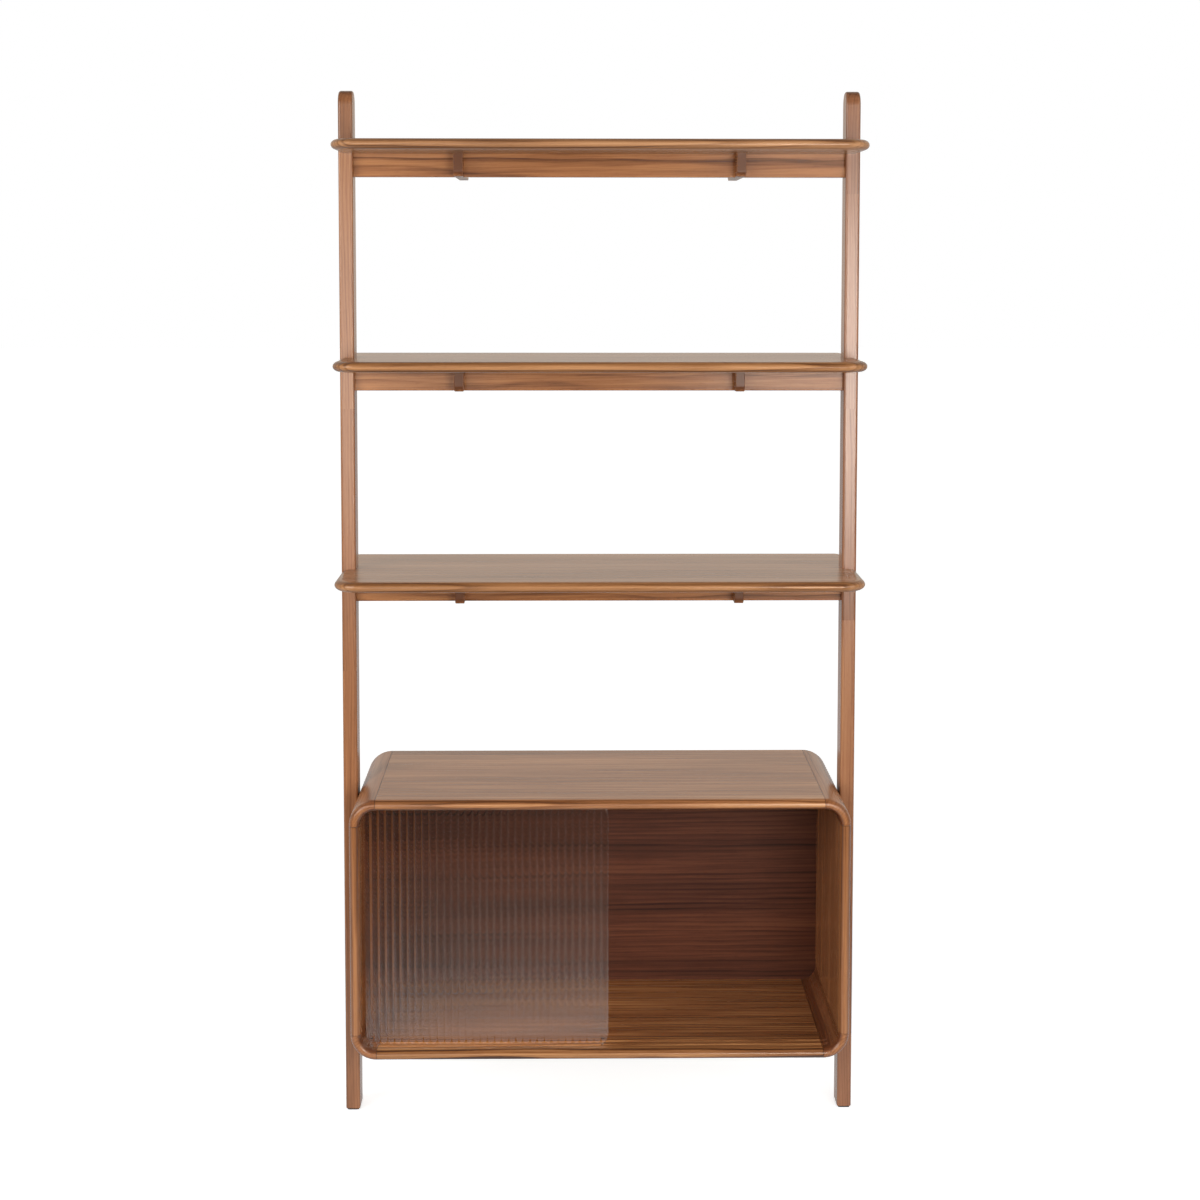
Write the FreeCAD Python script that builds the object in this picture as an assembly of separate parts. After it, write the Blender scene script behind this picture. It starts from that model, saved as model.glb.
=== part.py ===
"""Bookcase on two flat posts, with three open shelves and a low cabinet closed by two sliding glass doors.

Frame: millimetres, +X to the right, +Y towards the wall, +Z up.
Origin: on the floor, midway between the posts and midway between the cabinet's front and back.
Every sub-part is written to parts/NODE.step.
"""
import FreeCAD, Part
import math
import os

# ---------------------------------------------------------------- driving dimensions (mm)
overall_width = 900.0
leg_height = 150.0             # floor to the cabinet's underside
post_head = 90.0               # post standing above the upper shelf

post_thickness = 25.0
post_depth = 48.0
post_edge_round = 4.0
foot_pad_thickness = 3.0
foot_pad_inset = 2.0

shelf_depth = 350.0
shelf_thickness = 18.0
shelf_corner_radius = 44.0
shelf_back_corner_radius = 16.0
shelf_nose_reach = 12.5        # the edge is half an ellipse: this long, and as high as the board is thick
shelf_spacing = 370.0          # top face to top face, counted up from the cabinet's top
shelf_notch_clearance = 0.1

rail_height = 40.0
rail_thickness = 20.0
rail_edge_round = 1.5

bearer_width = 16.0
bearer_inset = 182.0           # from a post's inner face to the bearer's centre line
bearer_front_reach = 36.0      # in front of the rail
bearer_back_setback = 11.0     # short of the shelf's back edge
bearer_end_round = 10.0
bearer_edge_round = 1.2
lap_clearance = 0.1

cabinet_depth = 360.0
cabinet_height = 450.0
cabinet_board = 18.0
cabinet_corner_radius = 44.0
cabinet_nose_reach = 12.5      # of the front edges, half an ellipse too
cabinet_back_round = 3.0
cabinet_seam_gap = 0.3         # fine joint line between a corner moulding and the board beside it

back_panel_thickness = 9.0
back_panel_recess = 6.0
back_panel_clearance = 0.5
back_rebate_width = 8.0

door_thickness = 5.0
door_side_clearance = 1.0      # in a groove, to either side of the door
door_reed_height = 2.1
door_reed_width = 12.0
door_corner_radius = 27.0
door_end_gap = 7.0             # between a door at its stop and the cabinet's side board
door_overlap = 28.0            # of the two doors when they are closed
door_stop_clearance = 1.0      # groove's end beyond the door's end
door_floor_clearance = 0.3

groove_front_land = 20.5       # cabinet's front to the front groove
groove_land = 10.0             # wood between the two grooves
lower_groove_depth = 5.0
upper_groove_cover = 5.0       # wood left over the upper grooves

bolt_radius = 3.0
bolt_head_radius = 5.0
bolt_head_height = 6.0
bolt_socket_width = 5.0
bolt_socket_depth = 3.0
bolt_overrun = 1.0             # bolt's end beyond the barrel nut
plug_room = 1.0                # plug's radius beyond the bolt head's
plug_thickness = 4.0
barrel_nut_radius = 5.0
barrel_nut_inset = 34.0        # from the rail's end to the barrel nut's axis
barrel_nut_cover = 2.5         # rail's faces beyond the barrel nut's ends
cabinet_bolt_inset = 90.0      # from the cabinet's top or bottom
insert_radius = 5.0
insert_cover = 5.0             # wood left behind the threaded insert

dowel_radius = 3.0
dowel_length = 24.0
seam_dowel_front_setback = 80.0
seam_dowel_back_setback = 70.0
seam_dowel_count = 3

screw_cover = 6.0              # wood left over a screw's point
shelf_screw_radius = 2.0
shelf_screw_head_radius = 4.0
shelf_screw_head_height = 2.5
shelf_screw_grip = 18.0        # length of the screw in the bearer
shelf_screw_front_setback = 16.0   # from the bearer's front end
shelf_screw_back_setback = 40.0    # from the bearer's back end

back_screw_radius = 1.5
back_screw_head_radius = 3.0
back_screw_head_height = 1.6
back_screw_length = 20.0
back_screw_columns = 4
back_screw_rows = 3

bracket_inset = 75.0           # from a post's inner face to the bracket's middle
bracket_width = 25.0
bracket_seat = 25.0            # bracket's reach under the shelf
bracket_drop = 30.0
bracket_thickness = 2.0
bracket_bend_radius = 3.0
bracket_hole_radius = 3.0
bracket_screw_radius = 1.75
bracket_screw_head_radius = 3.4
bracket_screw_head_height = 2.0
bracket_screw_spacing = 13.0
bracket_screw_setback = 6.0    # from the bracket's front edge

fastener_clearance = 0.1       # round every bolt, screw, dowel, nut, insert and plug

# ---------------------------------------------------------------- sizes that follow
half_width = overall_width / 2
post_inner = half_width - post_thickness
half_post_depth = post_depth / 2
half_shelf_depth = shelf_depth / 2
half_rail = rail_thickness / 2
nose_reach = min(shelf_nose_reach, 0.8 * shelf_corner_radius, 0.8 * shelf_back_corner_radius)

cabinet_bottom_height = leg_height
cabinet_top_height = cabinet_bottom_height + cabinet_height
cabinet_front = -cabinet_depth / 2
cabinet_back = cabinet_depth / 2
cabinet_half_width = post_inner
inside_half_width = cabinet_half_width - cabinet_board
inside_floor = cabinet_bottom_height + cabinet_board
inside_ceiling = cabinet_top_height - cabinet_board
inside_corner_radius = cabinet_corner_radius - cabinet_board
cabinet_shoulder = cabinet_front + min(cabinet_nose_reach, 0.8 * groove_front_land)
back_rebate_depth = back_panel_thickness + back_panel_recess
back_panel_front = cabinet_back - back_rebate_depth

shelf_tops = {
    "lower": cabinet_top_height + shelf_spacing,
    "middle": cabinet_top_height + 2 * shelf_spacing,
    "upper": cabinet_top_height + 3 * shelf_spacing,
}
overall_height = shelf_tops["upper"] + post_head
bearer_line = post_inner - bearer_inset
bearer_front = -half_rail - bearer_front_reach
bearer_back = half_shelf_depth - bearer_back_setback
sides = {"left": -1, "right": 1}

groove_width = door_thickness + 2 * door_side_clearance
front_groove = cabinet_front + groove_front_land + groove_width / 2
rear_groove = front_groove + groove_width + groove_land
upper_groove_depth = cabinet_board - upper_groove_cover
groove_floor = inside_floor - lower_groove_depth
groove_ceiling = inside_ceiling + upper_groove_depth
groove_half_length = inside_half_width - door_end_gap + door_stop_clearance

door_width = inside_half_width - door_end_gap + door_overlap / 2
door_left = -inside_half_width + door_end_gap
door_bottom = groove_floor + door_floor_clearance
door_top = groove_ceiling - lower_groove_depth     # the door lifts clear of the lower groove

plug_radius = bolt_head_radius + plug_room
counterbore_depth = plug_thickness + bolt_head_height
barrel_nut_length = rail_thickness - 2 * barrel_nut_cover
rail_bolt_reach = barrel_nut_inset + barrel_nut_radius + bolt_overrun
rail_dowel_drop = (bolt_radius + rail_height / 2) / 2
insert_length = cabinet_board - insert_cover
shelf_screw_bite = shelf_thickness - screw_cover
shelf_screw_length = shelf_screw_bite + shelf_screw_grip

wall_plane = max(cabinet_back, half_shelf_depth)
bracket_line = post_inner - bracket_inset
bracket_front = half_shelf_depth - bracket_seat
bracket_top = shelf_tops["upper"] - shelf_thickness
bracket_hole_height = bracket_top - (bracket_drop + bracket_thickness) / 2
bracket_screw_length = bracket_thickness + shelf_thickness - screw_cover

X = FreeCAD.Vector(1, 0, 0)
Y = FreeCAD.Vector(0, 1, 0)
Z = FreeCAD.Vector(0, 0, 1)


# ---------------------------------------------------------------- small helpers
def vec(x, y, z):
    return FreeCAD.Vector(x, y, z)


def block(x0, x1, y0, y1, z0, z1):
    """Box between two corners."""
    return Part.makeBox(x1 - x0, y1 - y0, z1 - z0, vec(x0, y0, z0))


def rod(start, direction, radius, length):
    """Cylinder from a point along a direction."""
    return Part.makeCylinder(radius, length, start, direction)


def rounded(solid, radius, chosen):
    """Rounds over the edges that chosen(edge) picks."""
    return solid.makeFillet(radius, [edge for edge in solid.Edges if chosen(edge)])


def rounded_outline(half_x, low, high, low_radius, high_radius, place):
    """Face of a rectangle with round corners, at its low and its high end; place(u, v) sets its plane."""
    corners = [(half_x, low), (half_x, high), (-half_x, high), (-half_x, low)]
    turns = [(-1, 1), (-1, -1), (1, -1), (1, 1)]
    edges = []
    last_end = None
    first_start = None
    for index, ((u, v), (su, sv)) in enumerate(zip(corners, turns)):
        radius = low_radius if v == low else high_radius
        slant = radius * (1 - math.sqrt(0.5))
        beside = place(u + su * radius, v)
        above = place(u, v + sv * radius)
        middle = place(u + su * slant, v + sv * slant)
        start, end = (beside, above) if index % 2 == 0 else (above, beside)
        if last_end is not None:
            edges.append(Part.LineSegment(last_end, start).toShape())
        else:
            first_start = start
        edges.append(Part.Arc(start, middle, end).toShape())
        last_end = end
    edges.append(Part.LineSegment(last_end, first_start).toShape())
    return Part.Face(Part.Wire(edges))


def upright_plate(half_x, low, high, radius, front, depth):
    """Plate with round corners that stands in the XZ plane and reaches back by depth."""
    face = rounded_outline(half_x, low, high, radius, radius, lambda u, v: vec(u, front, v))
    return face.extrude(vec(0, depth, 0))


def cut_all(solid, tools):
    """Cuts a list of solids out of one solid."""
    return solid.cut(Part.makeCompound(tools)) if tools else solid


def save(name, shape):
    """Writes one node; a group of separate solids goes in as a compound."""
    shape.exportStep("parts/" + name + ".step")


# ---------------------------------------------------------------- where the fasteners go
def bolt_heights():
    """Bolt heights on each post: one at every rail, two at the cabinet."""
    rails = [top - shelf_thickness - rail_height / 2 for top in shelf_tops.values()]
    cabinet = [cabinet_bottom_height + cabinet_bolt_inset, cabinet_top_height - cabinet_bolt_inset]
    return rails, cabinet


def bolt(side, height, reach):
    """Socket-head bolt through a post; reach is counted from the post's inner face."""
    head_start = side * (half_width - plug_thickness)
    inward = vec(-side, 0, 0)
    head = rod(vec(head_start, 0, height), inward, bolt_head_radius, bolt_head_height)
    shank_start = head_start - side * bolt_head_height
    shank_length = post_thickness - counterbore_depth + reach
    shank = rod(vec(shank_start, 0, height), inward, bolt_radius, shank_length)
    socket_corner = bolt_socket_width / math.sqrt(3)
    corners = []
    for step in range(7):
        angle = step * math.pi / 3
        across = socket_corner * math.cos(angle)
        up = socket_corner * math.sin(angle)
        corners.append(vec(head_start, across, height + up))
    socket = Part.Face(Part.makePolygon(corners)).extrude(inward * bolt_socket_depth)
    return head.fuse(shank).cut(socket)


def bolt_room(side, height):
    """Counterbore and through hole for a bolt in a post."""
    inward = vec(-side, 0, 0)
    mouth = vec(side * half_width, 0, height)
    counterbore = rod(mouth, inward, plug_radius + fastener_clearance, counterbore_depth)
    hole = rod(mouth, inward, bolt_radius + fastener_clearance, post_thickness)
    return counterbore.fuse(hole)


def plug(side, height):
    """Wooden plug that closes a counterbore flush with the post's outer face."""
    return rod(vec(side * half_width, 0, height), vec(-side, 0, 0), plug_radius, plug_thickness)


def rail_dowel(side, height, radius):
    """Dowel that stops a rail from turning on its bolt."""
    start = vec(side * (post_inner + dowel_length / 2), 0, height - rail_dowel_drop)
    return rod(start, vec(-side, 0, 0), radius, dowel_length)


def seam_dowels(radius):
    """Dowels across the eight seams of the cabinet's shell, a row of them at each seam."""
    straight_x = cabinet_half_width - cabinet_corner_radius
    middle = cabinet_board / 2
    low_seam = cabinet_bottom_height + cabinet_corner_radius
    high_seam = cabinet_top_height - cabinet_corner_radius
    first = cabinet_front + seam_dowel_front_setback
    run = cabinet_back - seam_dowel_back_setback - first
    dowels = []
    for index in range(seam_dowel_count):
        y = first + run * (index + 0.5) / seam_dowel_count
        for side in sides.values():
            for z in (cabinet_bottom_height + middle, cabinet_top_height - middle):
                dowels.append(rod(vec(side * straight_x - dowel_length / 2, y, z), X, radius, dowel_length))
            for z in (low_seam, high_seam):
                x = side * (cabinet_half_width - middle)
                dowels.append(rod(vec(x, y, z - dowel_length / 2), Z, radius, dowel_length))
    return dowels


def shelf_screw_places(top):
    """Head faces of the four screws that hold one shelf to its bearers."""
    head_z = top - shelf_thickness - shelf_screw_grip
    front = bearer_front + shelf_screw_front_setback
    back = bearer_back - shelf_screw_back_setback
    return [vec(side * bearer_line, y, head_z) for side in sides.values() for y in (front, back)]


def screw(place, direction, radius, head_radius, head_height, length):
    """Countersunk screw; place is the middle of its head's face."""
    head = Part.makeCone(head_radius, radius, head_height, place, direction)
    return head.fuse(rod(place, direction, radius, length))


def pilot_hole(place, direction, radius, length):
    """Hole for a screw's shank, a little wider and deeper than the screw."""
    return rod(place, direction, radius + fastener_clearance, length + fastener_clearance)


def back_screw_places():
    """Screws round the back panel, in the middle of the rebate's shoulder."""
    y = back_panel_front + back_panel_thickness
    edge_x = inside_half_width + back_rebate_width / 2
    edge_low = inside_floor - back_rebate_width / 2
    edge_high = inside_ceiling + back_rebate_width / 2
    run_x = cabinet_half_width - 2 * cabinet_corner_radius
    run_z = cabinet_height / 2 - 2 * cabinet_corner_radius
    middle_z = cabinet_bottom_height + cabinet_height / 2
    places = []
    for column in range(back_screw_columns):
        x = run_x * (2 * column / (back_screw_columns - 1) - 1)
        places += [vec(x, y, edge_low), vec(x, y, edge_high)]
    for row in range(back_screw_rows):
        z = middle_z + run_z * (2 * row / (back_screw_rows - 1) - 1)
        places += [vec(-edge_x, y, z), vec(edge_x, y, z)]
    return places


def bracket_screw_places():
    """Heads of the screws that hold the wall brackets under the upper shelf."""
    y = bracket_front + bracket_screw_setback
    z = bracket_top - bracket_thickness
    steps = (-bracket_screw_spacing / 2, bracket_screw_spacing / 2)
    return [vec(side * bracket_line + step, y, z) for side in sides.values() for step in steps]


# ---------------------------------------------------------------- posts and feet
def make_post(side):
    """Flat upright, half round at its top end in side view, all long edges eased."""
    low = foot_pad_thickness
    shoulder = overall_height - half_post_depth
    outer = side * half_width
    low_front = vec(outer, -half_post_depth, low)
    high_front = vec(outer, -half_post_depth, shoulder)
    crown = vec(outer, 0, overall_height)
    high_back = vec(outer, half_post_depth, shoulder)
    low_back = vec(outer, half_post_depth, low)
    outline = Part.Wire([
        Part.LineSegment(low_front, high_front).toShape(),
        Part.Arc(high_front, crown, high_back).toShape(),
        Part.LineSegment(high_back, low_back).toShape(),
        Part.LineSegment(low_back, low_front).toShape(),
    ])
    post = Part.Face(outline).extrude(vec(-side * post_thickness, 0, 0))

    def long_edge(edge):
        box = edge.BoundBox
        return box.XLength < 0.01 and box.ZLength > half_post_depth / 2

    post = rounded(post, post_edge_round, long_edge)
    rails, cabinet = bolt_heights()
    room = [bolt_room(side, height) for height in rails + cabinet]
    room += [rail_dowel(side, height, dowel_radius + fastener_clearance) for height in rails]
    return cut_all(post, room)


def make_foot_pad(side):
    """Felt pad under a post."""
    x0, x1 = sorted((side * (half_width - foot_pad_inset), side * (post_inner + foot_pad_inset)))
    reach = half_post_depth - foot_pad_inset
    pad = block(x0, x1, -reach, reach, 0, foot_pad_thickness)
    return rounded(pad, post_edge_round, lambda edge: edge.BoundBox.ZLength > foot_pad_thickness / 2)


def nose_face(root, across, outward):
    """Half ellipse on the line that runs across a board from root; outward reaches from there to its tip."""
    head = root + across
    tip = root + across * 0.5 + outward
    edges = [Part.LineSegment(root, head).toShape()]
    for end in (head, root):
        quarter = Part.BezierCurve()
        quarter.setPoles([end, end + outward, tip])
        quarter.setWeight(2, math.sqrt(0.5))
        edges.append(quarter.toShape())
    return Part.Face(Part.Wire(edges))


# ---------------------------------------------------------------- shelves


def nosed_board(low):
    """Board with round corners in plan, tighter ones at the back, and a half-elliptical nose all round."""
    inner_x, inner_y = half_width - nose_reach, half_shelf_depth - nose_reach
    core = rounded_outline(inner_x, -inner_y, inner_y, shelf_corner_radius - nose_reach,
                           shelf_back_corner_radius - nose_reach, lambda u, v: vec(u, v, low))
    upright = Z * shelf_thickness
    end_start, end_stop = shelf_corner_radius - half_shelf_depth, half_shelf_depth - shelf_back_corner_radius
    noses = []
    for side in sides.values():
        end = nose_face(vec(side * inner_x, end_start, low), upright, X * (side * nose_reach))
        noses.append(end.extrude(Y * (end_stop - end_start)))
    for way, radius in ((-1, shelf_corner_radius), (1, shelf_back_corner_radius)):
        turn_x, turn_y = half_width - radius, half_shelf_depth - radius
        to_edge = Y * (way * nose_reach)
        edge = nose_face(vec(-turn_x, way * inner_y, low), upright, to_edge)
        noses.append(edge.extrude(X * (2 * turn_x)))
        for side in sides.values():
            corner = nose_face(vec(side * turn_x, way * inner_y, low), upright, to_edge)
            noses.append(corner.revolve(vec(side * turn_x, way * turn_y, 0), Z * (-side * way), 90))
    return core.extrude(upright).multiFuse(noses)


def make_shelf(top):
    """Board with its nose, notched round both posts."""
    low = top - shelf_thickness
    tools = [make_notch(side, low) for side in sides.values()]
    tools += [pilot_hole(place, Z, shelf_screw_radius, shelf_screw_length) for place in shelf_screw_places(top)]
    if top == shelf_tops["upper"]:
        for place in bracket_screw_places():
            tools.append(pilot_hole(place, Z, bracket_screw_radius, bracket_screw_length))
    return cut_all(nosed_board(low), tools)


def make_notch(side, low):
    """Room for a post in a shelf's end, with the inner corners round like the post's edges."""
    reach = half_post_depth + shelf_notch_clearance
    inner = post_inner - shelf_notch_clearance
    x0, x1 = sorted((side * inner, side * (half_width + post_thickness)))
    notch = block(x0, x1, -reach, reach, low - shelf_thickness, low + 2 * shelf_thickness)

    def inner_corner(edge):
        box = edge.BoundBox
        return box.ZLength > shelf_thickness and abs(abs(box.XMin) - inner) < 0.01 and box.XLength < 0.01

    return rounded(notch, post_edge_round, inner_corner)


# ---------------------------------------------------------------- rails and bearers
def make_rail(top):
    """Bar from post to post under a shelf, halved from above where the bearers cross it."""
    high = top - shelf_thickness
    low = high - rail_height
    middle = low + rail_height / 2
    rail = block(-post_inner, post_inner, -half_rail, half_rail, low, high)

    def long_lower(edge):
        return edge.BoundBox.XLength > post_inner and edge.BoundBox.ZMax < middle

    rail = rounded(rail, rail_edge_round, long_lower)
    half_slot = bearer_width / 2 + lap_clearance
    bolt_hole = bolt_radius + fastener_clearance
    nut_hole = barrel_nut_radius + fastener_clearance
    tools = []
    for side in sides.values():
        x = side * bearer_line
        tools.append(block(x - half_slot, x + half_slot, -rail_thickness, rail_thickness, middle, high + 1))
        end = vec(side * post_inner, 0, middle)
        tools.append(rod(end, vec(-side, 0, 0), bolt_hole, rail_bolt_reach + fastener_clearance))
        tools.append(rail_dowel(side, middle, dowel_radius + fastener_clearance))
        tools.append(barrel_nut_body(side, middle, nut_hole, half_rail + barrel_nut_length / 2))
    return cut_all(rail, tools)


def barrel_nut_body(side, height, radius, length):
    """Cylinder of a barrel nut or its hole, which opens at the rail's back face."""
    start = vec(side * (post_inner - barrel_nut_inset), -barrel_nut_length / 2, height)
    return rod(start, Y, radius, length)


def make_barrel_nut(side, height):
    """Barrel nut, cross bored for the rail bolt."""
    nut = barrel_nut_body(side, height, barrel_nut_radius, barrel_nut_length)
    bore = rod(vec(side * post_inner, 0, height), vec(-side, 0, 0), bolt_radius + fastener_clearance,
               barrel_nut_inset + 2 * barrel_nut_radius)
    return nut.cut(bore)


def make_bearer(side, top):
    """Short bar across the rail, halved from below, with round lower ends."""
    high = top - shelf_thickness
    low = high - rail_height
    middle = low + rail_height / 2
    x = side * bearer_line
    bearer = block(x - bearer_width / 2, x + bearer_width / 2, bearer_front, bearer_back, low, high)

    def lower_end(edge):
        return edge.BoundBox.XLength > bearer_width / 2 and edge.BoundBox.ZMax < middle

    def lower_side(edge):
        return edge.BoundBox.XLength < 0.01 and edge.BoundBox.ZMax < high - 0.01

    bearer = rounded(bearer, bearer_end_round, lower_end)
    bearer = rounded(bearer, bearer_edge_round, lower_side)
    half_slot = half_rail + lap_clearance
    tools = [block(x - bearer_width, x + bearer_width, -half_slot, half_slot, low - 1, middle)]
    for place in shelf_screw_places(top):
        if place.x * side > 0:
            mouth = vec(place.x, place.y, low)
            depth = place.z + shelf_screw_head_height - low
            tools.append(pilot_hole(place, Z, shelf_screw_radius, shelf_screw_length))
            tools.append(rod(mouth, Z, shelf_screw_head_radius + fastener_clearance, depth))
    return cut_all(bearer, tools)


# ---------------------------------------------------------------- cabinet
def shell_noses():
    """Half-elliptical front edges of the ring: one along each board and one round each corner."""
    forward = vec(0, cabinet_front - cabinet_shoulder, 0)
    turn_x = cabinet_half_width - cabinet_corner_radius
    turn_low = cabinet_bottom_height + cabinet_corner_radius
    turn_high = cabinet_top_height - cabinet_corner_radius
    noses = []
    for way, outside, turn_z in ((-1, cabinet_bottom_height, turn_low), (1, cabinet_top_height, turn_high)):
        inward = Z * (-way * cabinet_board)
        board = nose_face(vec(-turn_x, cabinet_shoulder, outside), inward, forward)
        noses.append(board.extrude(X * (2 * turn_x)))
        for side in sides.values():
            corner = nose_face(vec(side * turn_x, cabinet_shoulder, outside), inward, forward)
            noses.append(corner.revolve(vec(side * turn_x, 0, turn_z), Y * (side * way), 90))
    for side in sides.values():
        inward = X * (-side * cabinet_board)
        board = nose_face(vec(side * cabinet_half_width, cabinet_shoulder, turn_low), inward, forward)
        noses.append(board.extrude(Z * (turn_high - turn_low)))
    return noses


def make_shell():
    """The cabinet's whole ring: round corners, noses in front, door grooves and back rebate."""
    outer = upright_plate(cabinet_half_width, cabinet_bottom_height, cabinet_top_height,
                          cabinet_corner_radius, cabinet_shoulder, cabinet_back - cabinet_shoulder)
    back_round = min(cabinet_back_round, 0.9 * (cabinet_board - back_rebate_width))
    outer = rounded(outer, back_round, lambda edge: edge.BoundBox.YMin > cabinet_back - 0.01)
    inner = upright_plate(inside_half_width, inside_floor, inside_ceiling, inside_corner_radius,
                          cabinet_front - 1, cabinet_depth + 2)
    ring = outer.cut(inner).multiFuse(shell_noses())
    groove_corner_radius = door_corner_radius + door_stop_clearance
    tools = [make_back_outline(back_panel_front, back_rebate_depth + 1, 0.0)]
    for y in (front_groove, rear_groove):
        tools.append(upright_plate(groove_half_length, groove_floor, groove_ceiling,
                                   groove_corner_radius, y - groove_width / 2, groove_width))
    return cut_all(ring, tools)


def make_back_outline(front, depth, clearance):
    """Rebate for the back panel, or with a clearance the panel itself."""
    grow = back_rebate_width - clearance
    return upright_plate(inside_half_width + grow, inside_floor - grow, inside_ceiling + grow,
                         inside_corner_radius + grow, front, depth)


def shell_zones():
    """Boxes that part the ring into four boards and four corner mouldings."""
    gap = cabinet_seam_gap / 2
    far = cabinet_half_width + 1
    seam_x = cabinet_half_width - cabinet_corner_radius
    low_seam = cabinet_bottom_height + cabinet_corner_radius
    high_seam = cabinet_top_height - cabinet_corner_radius
    floor, ceiling = cabinet_bottom_height - 1, cabinet_top_height + 1
    spans_x = {
        "left": (-far, -seam_x - gap),
        "middle": (-seam_x + gap, seam_x - gap),
        "right": (seam_x + gap, far),
    }
    spans_z = {
        "bottom": (floor, low_seam - gap),
        "middle": (low_seam + gap, high_seam - gap),
        "top": (high_seam + gap, ceiling),
    }
    names = {
        ("middle", "top"): "cabinet_top",
        ("middle", "bottom"): "cabinet_bottom",
        ("left", "middle"): "cabinet_side_left",
        ("right", "middle"): "cabinet_side_right",
        ("left", "top"): "corner_moulding_top_left",
        ("right", "top"): "corner_moulding_top_right",
        ("left", "bottom"): "corner_moulding_bottom_left",
        ("right", "bottom"): "corner_moulding_bottom_right",
    }
    zones = {}
    for (across, up), name in names.items():
        x0, x1 = spans_x[across]
        z0, z1 = spans_z[up]
        zones[name] = block(x0, x1, cabinet_front - 1, cabinet_back + 1, z0, z1)
    return zones


def shell_holes():
    """Holes in the shell for dowels, threaded inserts and back panel screws."""
    tools = seam_dowels(dowel_radius + fastener_clearance)
    for side in sides.values():
        for height in bolt_heights()[1]:
            mouth = vec(side * cabinet_half_width, 0, height)
            tools.append(pilot_hole(mouth, vec(-side, 0, 0), insert_radius, insert_length))
    tools += [pilot_hole(place, -Y, back_screw_radius, back_screw_length) for place in back_screw_places()]
    return tools


def make_insert(side, height):
    """Threaded insert in a side board."""
    start = vec(side * cabinet_half_width, 0, height)
    body = rod(start, vec(-side, 0, 0), insert_radius, insert_length)
    return body.cut(rod(start, vec(-side, 0, 0), bolt_radius + fastener_clearance, insert_length))


def make_back_panel():
    """Panel that lies in the rebate, countersunk for its screws."""
    panel = make_back_outline(back_panel_front, back_panel_thickness, back_panel_clearance)
    shank = back_screw_radius + fastener_clearance
    head = back_screw_head_radius + fastener_clearance
    sink = back_screw_head_height + fastener_clearance
    places = back_screw_places()
    return cut_all(panel, [screw(place, -Y, shank, head, sink, back_screw_length) for place in places])


# ---------------------------------------------------------------- doors
def make_door(y):
    """Glass pane with vertical reeds on its front face and round corners."""
    reeds = max(1, round(door_width / door_reed_width))
    pitch = door_width / reeds
    back = y + door_thickness / 2
    valley = y - door_thickness / 2 + door_reed_height
    crest = y - door_thickness / 2
    edges = []
    for index in range(reeds):
        start = door_left + index * pitch
        reed = (vec(start, valley, door_bottom), vec(start + pitch / 2, crest, door_bottom),
                vec(start + pitch, valley, door_bottom))
        edges.append(Part.Arc(*reed).toShape())
    right = door_left + door_width
    rim = [vec(right, valley, door_bottom), vec(right, back, door_bottom),
           vec(door_left, back, door_bottom), vec(door_left, valley, door_bottom)]
    edges += Part.makePolygon(rim).Edges
    pane = Part.Face(Part.Wire(edges)).extrude(vec(0, 0, door_top - door_bottom))
    outline = upright_plate(door_width / 2, door_bottom, door_top, door_corner_radius,
                            y - door_thickness, 2 * door_thickness)
    outline.translate(vec(door_left + door_width / 2, 0, 0))
    return pane.common(outline)


# ---------------------------------------------------------------- wall brackets
def make_bracket(side):
    """Steel angle under the upper shelf, whose upright leg lies against the wall."""
    x = side * bracket_line
    low = bracket_top - bracket_drop
    x0, x1 = x - bracket_width / 2, x + bracket_width / 2
    angle = block(x0, x1, bracket_front, wall_plane, low, bracket_top)
    angle = angle.cut(block(x0 - 1, x1 + 1, bracket_front - 1, wall_plane - bracket_thickness,
                            low - 1, bracket_top - bracket_thickness))

    def at_bend(edge):
        box = edge.BoundBox
        lengthwise = box.XLength > bracket_width / 2
        return lengthwise and box.YMin > wall_plane - 0.01 and box.ZMin > bracket_top - 0.01

    angle = rounded(angle, bracket_bend_radius, at_bend)
    wall_hole = vec(x, wall_plane + 1, bracket_hole_height)
    shank = bracket_screw_radius + fastener_clearance
    head = bracket_screw_head_radius + fastener_clearance
    sink = bracket_screw_head_height + fastener_clearance
    tools = [rod(wall_hole, -Y, bracket_hole_radius, bracket_thickness + 2)]
    for place in bracket_screw_places():
        if place.x * side > 0:
            tools.append(screw(place, Z, shank, head, sink, bracket_screw_length))
    return cut_all(angle, tools)


# ---------------------------------------------------------------- build
def build_frame():
    for name, side in sides.items():
        save("post_" + name, make_post(side))
        save("foot_pad_" + name, make_foot_pad(side))
    for level, top in shelf_tops.items():
        save("shelf_" + level, make_shelf(top))
        save("rail_" + level, make_rail(top))
        for name, side in sides.items():
            save("bearer_" + level + "_" + name, make_bearer(side, top))


def build_cabinet():
    shell = cut_all(make_shell(), shell_holes())
    for name, zone in shell_zones().items():
        save(name, shell.common(zone))
    save("back_panel", make_back_panel())
    save("door_front", make_door(front_groove))
    save("door_rear", make_door(rear_groove))


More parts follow.
